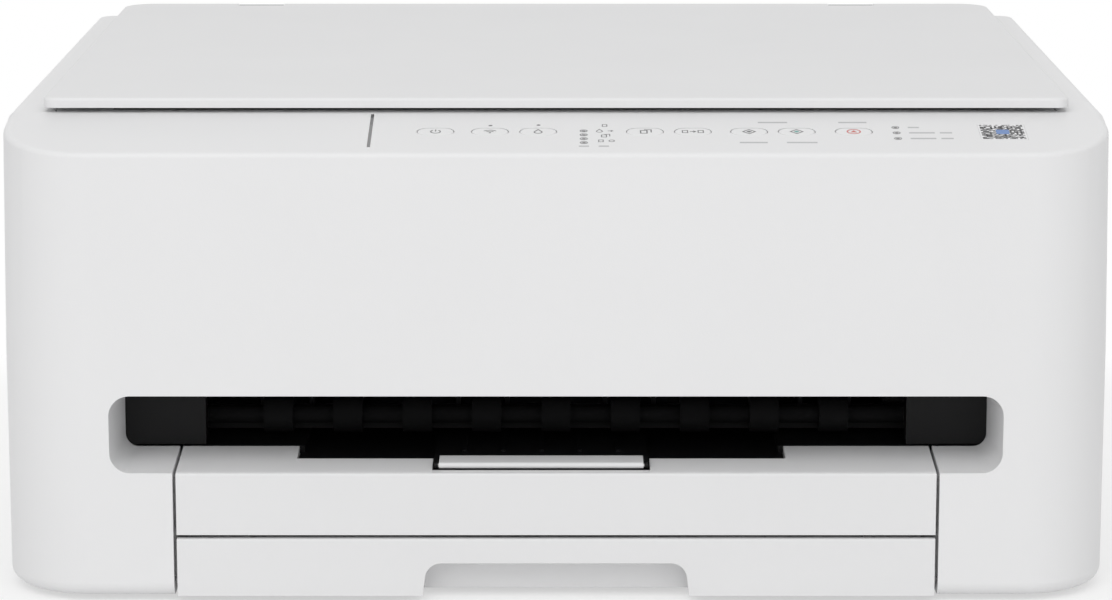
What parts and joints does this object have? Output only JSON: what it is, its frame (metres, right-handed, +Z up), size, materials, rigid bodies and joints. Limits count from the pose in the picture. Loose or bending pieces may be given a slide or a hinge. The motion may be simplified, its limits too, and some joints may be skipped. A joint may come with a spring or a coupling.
{
  "type": "inkjet multifunction printer",
  "caption": "Desktop inkjet printer and flatbed scanner with a hinged document lid, sloping key panel, front paper cassette and pull-out output tray.",
  "frame": {"origin": "middle of the footprint on the table", "axes": "+X to the right seen from the front, +Y to the rear, +Z up; the front with the drawers faces -Y"},
  "size_m": [0.375, 0.315, 0.1662],
  "materials": {
    "case_white": "fine matt moulded white plastic",
    "lid_white": "fine textured white plastic",
    "drawer_white": "matt moulded white plastic",
    "key_white": "satin white plastic",
    "black_plastic": "matt black plastic",
    "dark_plastic": "dark grey plastic",
    "grey_plastic": "grey plastic",
    "gear_plastic": "natural acetal plastic",
    "light_window": "smoked light window",
    "label": "printed label",
    "pad_white": "white foam-backed sheet",
    "glass": "clear float glass",
    "steel": "polished shaft steel",
    "zinc_steel": "zinc plated sheet steel",
    "rubber": "soft rubber",
    "belt_rubber": "reinforced belt rubber",
    "felt": "pressed felt",
    "board": "green circuit board",
    "ink_cell": "black cartridge plastic"
  },
  "bodies": {
    "root": {"outer_case": "case_white", "lower_case": "case_white", "rear_sockets": "black_plastic", "rubber_feet": "rubber", "case_screws": "steel", "outlet_bezel": "black_plastic", "panel_lights": "light_window", "code_label": "label", "circuit_boards": "board", "power_supply": "black_plastic", "ink_absorber": "felt", "engine_frame": "zinc_steel", "carriage_rail": "steel", "carriage_belt": "belt_rubber", "motors": "steel", "print_platen": "black_plastic", "purge_unit": "dark_plastic", "press_wheels": "gear_plastic", "roller_holders": "black_plastic"},
    "rear_door": {"rear_cover": "case_white"},
    "cassette": {"cassette_tub": "grey_plastic", "cassette_front": "drawer_white"},
    "stack_lift": {"lift_plate": "grey_plastic"},
    "guide_left": {"side_guide_left": "dark_plastic"},
    "guide_right": {"side_guide_right": "dark_plastic"},
    "guide_wheel": {"guide_pinion": "gear_plastic"},
    "length_stop": {"length_guide": "dark_plastic"},
    "tray": {"output_tray": "drawer_white", "tray_insert": "black_plastic"},
    "support": {"paper_support": "black_plastic"},
    "stopper": {"stopper_tab": "drawer_white"},
    "scanner": {"scanner_base": "grey_plastic", "scanner_top": "case_white", "platen_glass": "glass", "scan_rail": "steel", "scan_belt": "belt_rubber"},
    "scan_head": {"scan_bar": "black_plastic"},
    "scan_wheel_left": {"scan_pulley_left": "gear_plastic"},
    "scan_wheel_right": {"scan_pulley_right": "gear_plastic"},
    "lid_lift": {"lid_hinge_blocks": "grey_plastic"},
    "lid": {"lid_shell": "lid_white", "lid_pad": "pad_white"},
    "print_carriage": {"carriage": "dark_plastic", "cartridges": "ink_cell"},
    "belt_wheel_left": {"carriage_pulley_left": "gear_plastic"},
    "belt_wheel_right": {"carriage_pulley_right": "gear_plastic"},
    "feed": {"feed_roller": "steel"},
    "idler": {"idler_gear": "gear_plastic"},
    "eject": {"eject_roller": "rubber"},
    "pinion": {"motor_pinion": "gear_plastic"},
    "pick_arm": {"pickup_arm": "dark_plastic"},
    "pick_roll": {"pickup_roller": "rubber"},
    "button_1": {"key_1": "key_white"},
    "button_2": {"key_2": "key_white"},
    "button_3": {"key_3": "key_white"},
    "button_4": {"key_4": "key_white"},
    "button_5": {"key_5": "key_white"},
    "button_6": {"key_6": "key_white"},
    "button_7": {"key_7": "key_white"},
    "button_8": {"key_8": "key_white"}
  },
  "joints": [
    {"name": "rear_door_hinge", "type": "hinge", "parent": "root", "child": "rear_door", "pos_m": [0, 0.1539, 0.03], "axis": [-1, 0, 0], "range_deg": [0, 75]},
    {"name": "cassette_slide", "type": "slide", "parent": "root", "child": "cassette", "axis": [0, -1, 0], "range_m": [0, 0.2]},
    {"name": "stack_lift_hinge", "type": "hinge", "parent": "cassette", "child": "stack_lift", "pos_m": [0, 0.024, 0.0078], "axis": [1, 0, 0], "range_deg": [0, 9]},
    {"name": "guide_left_slide", "type": "slide", "parent": "cassette", "child": "guide_left", "axis": [1, 0, 0], "range_m": [0, 0.055]},
    {"name": "guide_right_slide", "type": "slide", "parent": "cassette", "child": "guide_right", "axis": [-1, 0, 0], "range_m": [0, 0.055]},
    {"name": "guide_wheel_spin", "type": "hinge", "parent": "cassette", "child": "guide_wheel", "pos_m": [0, 0.005, 0.0063], "axis": [0, 0, 1], "range_deg": [0, 530]},
    {"name": "length_stop_slide", "type": "slide", "parent": "cassette", "child": "length_stop", "axis": [0, 1, 0], "range_m": [0, 0.087]},
    {"name": "tray_slide", "type": "slide", "parent": "root", "child": "tray", "axis": [0, -1, 0], "range_m": [0, 0.1]},
    {"name": "support_slide", "type": "slide", "parent": "tray", "child": "support", "axis": [0, -1, 0], "range_m": [0, 0.07]},
    {"name": "stopper_hinge", "type": "hinge", "parent": "support", "child": "stopper", "pos_m": [-0.005, -0.15145, 0.04635], "axis": [1, 0, 0], "range_deg": [0, 95]},
    {"name": "scanner_hinge", "type": "hinge", "parent": "root", "child": "scanner", "pos_m": [0, 0.1495, 0.14], "axis": [-1, 0, 0], "range_deg": [0, 40]},
    {"name": "scan_head_slide", "type": "slide", "parent": "scanner", "child": "scan_head", "axis": [1, 0, 0], "range_m": [0, 0.27]},
    {"name": "scan_wheel_left_spin", "type": "hinge", "parent": "scanner", "child": "scan_wheel_left", "pos_m": [-0.158, 0.022, 0.138], "axis": [0, 0, 1], "range_deg": [0, 3900]},
    {"name": "scan_wheel_right_spin", "type": "hinge", "parent": "scanner", "child": "scan_wheel_right", "pos_m": [0.158, 0.022, 0.138], "axis": [0, 0, 1], "range_deg": [0, 3900]},
    {"name": "lid_lift_slide", "type": "slide", "parent": "scanner", "child": "lid_lift", "axis": [0, 0, 1], "range_m": [0, 0.01]},
    {"name": "lid_hinge", "type": "hinge", "parent": "lid_lift", "child": "lid", "pos_m": [0, 0.1515, 0.16448], "axis": [-1, 0, 0], "range_deg": [0, 85]},
    {"name": "carriage_slide", "type": "slide", "parent": "root", "child": "print_carriage", "axis": [-1, 0, 0], "range_m": [0, 0.245]},
    {"name": "belt_wheel_left_spin", "type": "hinge", "parent": "root", "child": "belt_wheel_left", "pos_m": [-0.15, -0.006, 0.092], "axis": [0, 1, 0], "range_deg": [0, 2350]},
    {"name": "belt_wheel_right_spin", "type": "hinge", "parent": "root", "child": "belt_wheel_right", "pos_m": [0.15, -0.006, 0.092], "axis": [0, 1, 0], "range_deg": [0, 2350]},
    {"name": "feed_spin", "type": "hinge", "parent": "root", "child": "feed", "pos_m": [0, -0.048, 0.055], "axis": [1, 0, 0], "continuous": true},
    {"name": "idler_spin", "type": "hinge", "parent": "root", "child": "idler", "pos_m": [0, -0.084, 0.055], "axis": [1, 0, 0], "continuous": true},
    {"name": "eject_spin", "type": "hinge", "parent": "root", "child": "eject", "pos_m": [0, -0.112, 0.055], "axis": [1, 0, 0], "continuous": true},
    {"name": "pinion_spin", "type": "hinge", "parent": "root", "child": "pinion", "pos_m": [0, -0.0376, 0.03699], "axis": [1, 0, 0], "continuous": true},
    {"name": "pick_arm_hinge", "type": "hinge", "parent": "root", "child": "pick_arm", "pos_m": [0, 0.03, 0.052], "axis": [-1, 0, 0], "range_deg": [0, 8]},
    {"name": "pick_roll_spin", "type": "hinge", "parent": "pick_arm", "child": "pick_roll", "pos_m": [0, 0.062, 0.033], "axis": [1, 0, 0], "continuous": true},
    {"name": "key_1_press", "type": "slide", "parent": "root", "child": "button_1", "axis": [0, 0.1781, -0.984], "range_m": [0, 0.0006], "stiffness_N_per_m": 300, "springref_m": -0.0006},
    {"name": "key_2_press", "type": "slide", "parent": "root", "child": "button_2", "axis": [0, 0.1781, -0.984], "range_m": [0, 0.0006], "stiffness_N_per_m": 300, "springref_m": -0.0006},
    {"name": "key_3_press", "type": "slide", "parent": "root", "child": "button_3", "axis": [0, 0.1781, -0.984], "range_m": [0, 0.0006], "stiffness_N_per_m": 300, "springref_m": -0.0006},
    {"name": "key_4_press", "type": "slide", "parent": "root", "child": "button_4", "axis": [0, 0.1781, -0.984], "range_m": [0, 0.0006], "stiffness_N_per_m": 300, "springref_m": -0.0006},
    {"name": "key_5_press", "type": "slide", "parent": "root", "child": "button_5", "axis": [0, 0.1781, -0.984], "range_m": [0, 0.0006], "stiffness_N_per_m": 300, "springref_m": -0.0006},
    {"name": "key_6_press", "type": "slide", "parent": "root", "child": "button_6", "axis": [0, 0.1781, -0.984], "range_m": [0, 0.0006], "stiffness_N_per_m": 300, "springref_m": -0.0006},
    {"name": "key_7_press", "type": "slide", "parent": "root", "child": "button_7", "axis": [0, 0.1781, -0.984], "range_m": [0, 0.0006], "stiffness_N_per_m": 300, "springref_m": -0.0006},
    {"name": "key_8_press", "type": "slide", "parent": "root", "child": "button_8", "axis": [0, 0.1781, -0.984], "range_m": [0, 0.0006], "stiffness_N_per_m": 300, "springref_m": -0.0006}
  ],
  "couplings": [
    {"joint": "guide_right_slide", "follows": "guide_left_slide", "ratio": 1},
    {"joint": "guide_wheel_spin", "follows": "guide_left_slide", "rad_per_m": 166.67},
    {"joint": "scan_wheel_left_spin", "follows": "scan_head_slide", "rad_per_m": 250},
    {"joint": "scan_wheel_right_spin", "follows": "scan_head_slide", "rad_per_m": 250},
    {"joint": "belt_wheel_left_spin", "follows": "carriage_slide", "rad_per_m": 166.67},
    {"joint": "belt_wheel_right_spin", "follows": "carriage_slide", "rad_per_m": 166.67},
    {"joint": "idler_spin", "follows": "feed_spin", "ratio": -0.8},
    {"joint": "eject_spin", "follows": "feed_spin", "ratio": 2},
    {"joint": "pinion_spin", "follows": "feed_spin", "ratio": -3.3333}
  ]
}
